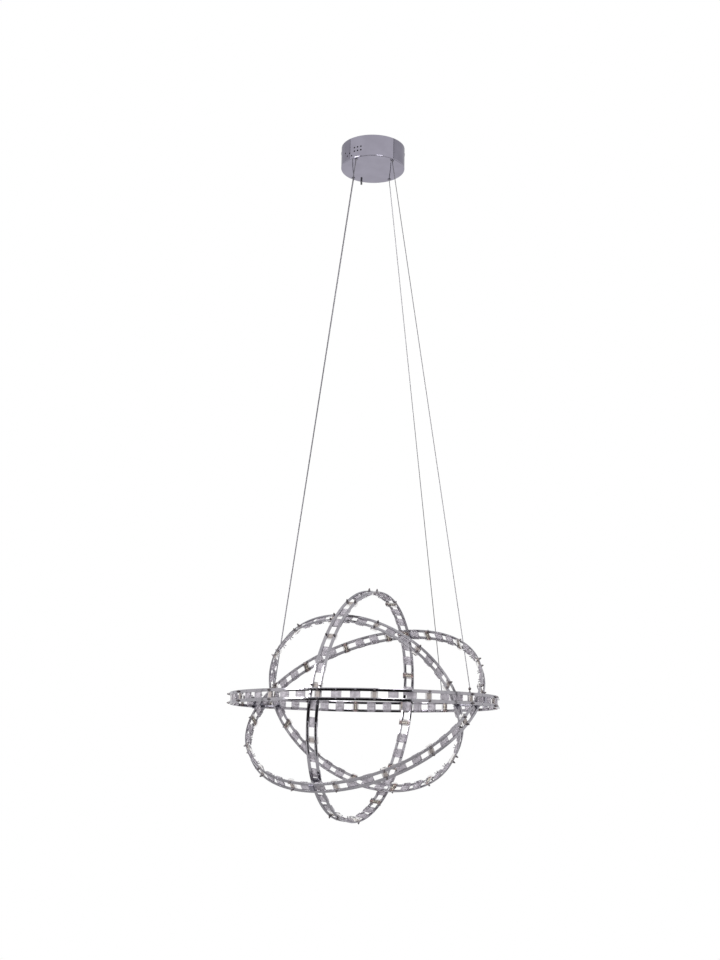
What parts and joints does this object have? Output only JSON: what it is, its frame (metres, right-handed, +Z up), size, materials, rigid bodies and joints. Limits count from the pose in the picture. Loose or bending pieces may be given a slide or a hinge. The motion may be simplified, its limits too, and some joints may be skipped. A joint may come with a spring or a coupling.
{
  "type": "led pendant light",
  "caption": "Round chrome ceiling canopy on thin wires carrying nested pivoting rings of polished rails set with crystals and clear LED lamps.",
  "frame": {"origin": "centre of the canopy on the ceiling face, midway between the two ceiling screw holes of the bracket", "axes": "+Z up into the ceiling; the light hangs along -Z; the bracket's strap and its screw holes lie along X; the picture looks along +Y"},
  "size_m": [0.5098, 0.5098, 1.3401],
  "materials": {
    "canopy_chrome": "polished",
    "polished_rail": "polished",
    "crystal_glass": "faceted, clear",
    "lamp_clear": "clear, moulded",
    "led_board": "phosphor strip",
    "contact_peg": "polished",
    "pivot_steel": "turned",
    "wire_steel": "drawn wire",
    "zinc_steel": "zinc plated",
    "driver_case": "moulded",
    "terminal_plastic": "moulded",
    "receiver_plastic": "moulded"
  },
  "bodies": {
    "canopy": {"canopy_cover": "canopy_chrome", "canopy_screws": "canopy_chrome", "ceiling_bracket": "zinc_steel", "gripper_nuts": "pivot_steel", "led_driver": "driver_case", "receiver_aerial": "receiver_plastic", "remote_receiver": "receiver_plastic", "suspension_wire_back_left": "wire_steel", "suspension_wire_back_right": "wire_steel", "suspension_wire_front_left": "wire_steel", "suspension_wire_front_right": "wire_steel", "terminal_block": "terminal_plastic", "wire_gripper_back_left": "pivot_steel", "wire_gripper_back_right": "pivot_steel", "wire_gripper_front_left": "pivot_steel", "wire_gripper_front_right": "pivot_steel"},
    "outer_ring": {"outer_crystals": "crystal_glass", "outer_lamp_pegs": "contact_peg", "outer_lamps": "lamp_clear", "outer_led_boards": "led_board", "outer_lower_rail": "polished_rail", "outer_pivot_plates": "pivot_steel", "outer_upper_rail": "polished_rail", "pivot_end_nuts": "pivot_steel", "pivot_pin_left": "pivot_steel", "pivot_pin_right": "pivot_steel", "pivot_spacers": "pivot_steel", "wire_stud_back_left": "pivot_steel", "wire_stud_back_right": "pivot_steel", "wire_stud_front_left": "pivot_steel", "wire_stud_front_right": "pivot_steel"},
    "second_ring": {"cross_end_nuts": "pivot_steel", "cross_pin_lower": "pivot_steel", "cross_pin_upper": "pivot_steel", "cross_spacers": "pivot_steel", "second_cross_blocks": "pivot_steel", "second_crystals": "crystal_glass", "second_lamp_pegs": "contact_peg", "second_lamps": "lamp_clear", "second_led_boards": "led_board", "second_lower_rail": "polished_rail", "second_pivot_blocks": "pivot_steel", "second_upper_rail": "polished_rail"},
    "third_ring": {"third_crystals": "crystal_glass", "third_lamp_pegs": "contact_peg", "third_lamps": "lamp_clear", "third_led_boards": "led_board", "third_lower_rail": "polished_rail", "third_pivot_blocks": "pivot_steel", "third_upper_rail": "polished_rail"},
    "inner_ring": {"inner_crystals": "crystal_glass", "inner_lamp_pegs": "contact_peg", "inner_lamps": "lamp_clear", "inner_led_boards": "led_board", "inner_lower_rail": "polished_rail", "inner_pivot_blocks": "pivot_steel", "inner_upper_rail": "polished_rail"}
  },
  "joints": [
    {"name": "height_slide", "type": "slide", "parent": "canopy", "child": "outer_ring", "axis": [0, 0, 1], "range_m": [0, 0.3], "deforming": ["suspension_wire_back_left", "suspension_wire_back_right", "suspension_wire_front_left", "suspension_wire_front_right"]},
    {"name": "second_ring_pivot", "type": "hinge", "parent": "outer_ring", "child": "second_ring", "pos_m": [0, 0, -1.1234], "axis": [0.8682, -0.4962, 0], "range_deg": [-130, 50]},
    {"name": "inner_ring_pivot", "type": "hinge", "parent": "outer_ring", "child": "inner_ring", "pos_m": [0, 0, -1.1234], "axis": [0.8682, -0.4962, 0], "range_deg": [-38, 141]},
    {"name": "third_ring_pivot", "type": "hinge", "parent": "second_ring", "child": "third_ring", "pos_m": [0, 0, -1.1234], "axis": [0.3796, 0.6641, 0.6441], "range_deg": [-90, 72]}
  ]
}
